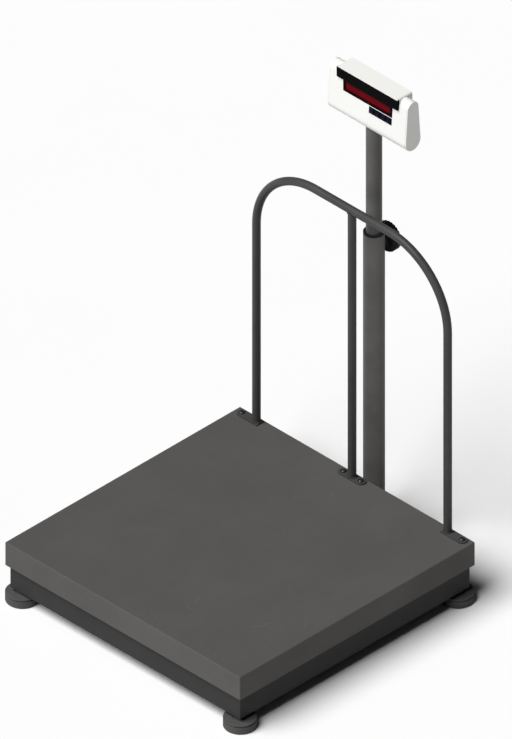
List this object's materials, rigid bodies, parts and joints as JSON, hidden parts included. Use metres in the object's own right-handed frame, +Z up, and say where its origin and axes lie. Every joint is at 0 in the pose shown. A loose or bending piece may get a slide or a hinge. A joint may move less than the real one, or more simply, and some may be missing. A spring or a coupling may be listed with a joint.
{
  "type": "animal weighing scale",
  "caption": "Floor scale for weighing animals: flat square platform on levelling feet, guard rail at the rear, and a height-adjustable pillar with a swivelling digital display.",
  "frame": {"origin": "on the floor, under the middle of the whole scale's box", "axes": "+X to the right of someone facing the display, +Y to the rear, +Z up"},
  "size_m": [0.618, 0.693, 0.98],
  "materials": {
    "pan_paint": "satin warm-grey powder coat",
    "frame_paint": "satin dark-grey powder coat",
    "rail_paint": "satin dark-grey powder coat on steel tube",
    "pillar_paint": "satin grey powder coat",
    "inner_tube_steel": "smooth grey enamel, polished by sliding",
    "zinc_steel": "zinc plated",
    "black_screws": "black oxide",
    "cell_aluminium": "machined and anodised",
    "foot_rubber": "moulded, matt",
    "grommet_rubber": "matt",
    "black_nylon": "moulded nylon",
    "knob_plastic": "fluted black moulding",
    "brass": "turned",
    "head_plastic": "fine-grained white moulding",
    "bezel_plastic": "semi-gloss black",
    "red_window": "deep red filter",
    "led_plastic": "black digit modules with red segments",
    "circuit_board": "green solder mask",
    "keypad_plastic": "black with a blue tint",
    "key_plastic": "soft-touch keys",
    "battery_wrap": "shrink wrap",
    "switch_plastic": "black moulding"
  },
  "bodies": {
    "frame": {"platform_pan": "pan_paint", "upper_frame": "frame_paint", "base_frame": "frame_paint", "load_cell": "cell_aluminium", "load_cell_spacers": "zinc_steel", "load_cell_bolts": "zinc_steel", "overload_stops": "zinc_steel", "rail_hoop": "rail_paint", "rail_centre_post": "rail_paint", "rail_foot_plates": "rail_paint", "rail_screws": "black_screws", "rail_inserts": "zinc_steel", "pillar_bracket": "frame_paint", "bracket_bolts": "zinc_steel", "bracket_inserts": "zinc_steel", "cable_grommet": "grommet_rubber", "pillar_base_flange": "frame_paint", "pillar_base_bolts": "zinc_steel", "pillar_outer_tube": "pillar_paint", "pillar_guide_bush": "black_nylon", "clamp_boss": "frame_paint", "foot_lock_nuts": "zinc_steel", "foot_weld_nuts": "zinc_steel"},
    "column": {"inner_tube": "inner_tube_steel", "inner_tube_glide": "black_nylon", "head_spigot": "zinc_steel", "swivel_nut": "zinc_steel"},
    "head": {"head_socket": "zinc_steel", "head_front_shell": "head_plastic", "head_rear_cover": "head_plastic", "head_end_caps": "head_plastic", "head_screws": "zinc_steel", "display_bezel": "bezel_plastic", "display_window": "red_window", "display_board": "circuit_board", "led_digits": "led_plastic", "keypad_frame": "keypad_plastic", "keypad_board": "circuit_board", "main_board": "circuit_board", "battery_pack": "battery_wrap", "battery_door": "head_plastic", "power_switch_case": "switch_plastic", "power_inlet": "switch_plastic"},
    "clamp_pad": {"clamp_pad": "brass"},
    "clamp_knob": {"clamp_knob": "knob_plastic", "clamp_screw": "zinc_steel"},
    "power_rocker": {"power_rocker": "switch_plastic"},
    "power_key": {"power_key": "key_plastic"},
    "zero_key": {"zero_key": "key_plastic"},
    "tare_key": {"tare_key": "key_plastic"},
    "hold_key": {"hold_key": "key_plastic"},
    "foot_pad_front_left": {"foot_pad_front_left": "foot_rubber"},
    "foot_stud_front_left": {"foot_stud_front_left": "zinc_steel"},
    "foot_pad_front_right": {"foot_pad_front_right": "foot_rubber"},
    "foot_stud_front_right": {"foot_stud_front_right": "zinc_steel"},
    "foot_pad_rear_left": {"foot_pad_rear_left": "foot_rubber"},
    "foot_stud_rear_left": {"foot_stud_rear_left": "zinc_steel"},
    "foot_pad_rear_right": {"foot_pad_rear_right": "foot_rubber"},
    "foot_stud_rear_right": {"foot_stud_rear_right": "zinc_steel"}
  },
  "joints": [
    {"name": "column_height", "type": "slide", "parent": "frame", "child": "column", "axis": [0, 0, 1], "range_m": [-0.13, 0.12]},
    {"name": "head_swivel", "type": "hinge", "parent": "column", "child": "head", "pos_m": [0, 0.3045, 0.881], "axis": [0, 0, 1], "range_deg": [-170, 170]},
    {"name": "clamp_travel", "type": "slide", "parent": "frame", "child": "clamp_pad", "axis": [0, 1, 0], "range_m": [0, 0.0025]},
    {"name": "clamp_turn", "type": "hinge", "parent": "clamp_pad", "child": "clamp_knob", "pos_m": [0, 0.3315, 0.615], "axis": [0, 1, 0], "range_deg": [0, 720.01]},
    {"name": "foot_travel_front_left", "type": "slide", "parent": "frame", "child": "foot_pad_front_left", "axis": [0, 0, -1], "range_m": [0, 0.0105]},
    {"name": "foot_turn_front_left", "type": "hinge", "parent": "foot_pad_front_left", "child": "foot_stud_front_left", "pos_m": [-0.278, -0.3155, 0.028], "axis": [0, 0, -1], "range_deg": [0, 2160.02]},
    {"name": "foot_travel_front_right", "type": "slide", "parent": "frame", "child": "foot_pad_front_right", "axis": [0, 0, -1], "range_m": [0, 0.0105]},
    {"name": "foot_turn_front_right", "type": "hinge", "parent": "foot_pad_front_right", "child": "foot_stud_front_right", "pos_m": [0.278, -0.3155, 0.028], "axis": [0, 0, -1], "range_deg": [0, 2160.02]},
    {"name": "foot_travel_rear_left", "type": "slide", "parent": "frame", "child": "foot_pad_rear_left", "axis": [0, 0, -1], "range_m": [0, 0.0105]},
    {"name": "foot_turn_rear_left", "type": "hinge", "parent": "foot_pad_rear_left", "child": "foot_stud_rear_left", "pos_m": [-0.278, 0.2405, 0.028], "axis": [0, 0, -1], "range_deg": [0, 2160.02]},
    {"name": "foot_travel_rear_right", "type": "slide", "parent": "frame", "child": "foot_pad_rear_right", "axis": [0, 0, -1], "range_m": [0, 0.0105]},
    {"name": "foot_turn_rear_right", "type": "hinge", "parent": "foot_pad_rear_right", "child": "foot_stud_rear_right", "pos_m": [0.278, 0.2405, 0.028], "axis": [0, 0, -1], "range_deg": [0, 2160.02]},
    {"name": "power_key_press", "type": "slide", "parent": "head", "child": "power_key", "axis": [0, 0.9976, -0.069], "range_m": [0, 0.0008], "stiffness_N_per_m": 1200, "springref_m": -0.0003},
    {"name": "zero_key_press", "type": "slide", "parent": "head", "child": "zero_key", "axis": [0, 0.9976, -0.069], "range_m": [0, 0.0008], "stiffness_N_per_m": 1200, "springref_m": -0.0003},
    {"name": "tare_key_press", "type": "slide", "parent": "head", "child": "tare_key", "axis": [0, 0.9976, -0.069], "range_m": [0, 0.0008], "stiffness_N_per_m": 1200, "springref_m": -0.0003},
    {"name": "hold_key_press", "type": "slide", "parent": "head", "child": "hold_key", "axis": [0, 0.9976, -0.069], "range_m": [0, 0.0008], "stiffness_N_per_m": 1200, "springref_m": -0.0003},
    {"name": "rocker_tilt", "type": "hinge", "parent": "head", "child": "power_rocker", "pos_m": [0.05, 0.3215, 0.954], "axis": [-1, 0, 0], "range_deg": [0, 16]}
  ],
  "couplings": [
    {"joint": "clamp_turn", "follows": "clamp_travel", "rad_per_m": 5026.5},
    {"joint": "foot_turn_front_left", "follows": "foot_travel_front_left", "rad_per_m": 3590.4},
    {"joint": "foot_turn_front_right", "follows": "foot_travel_front_right", "rad_per_m": 3590.4},
    {"joint": "foot_turn_rear_left", "follows": "foot_travel_rear_left", "rad_per_m": 3590.4},
    {"joint": "foot_turn_rear_right", "follows": "foot_travel_rear_right", "rad_per_m": 3590.4}
  ]
}
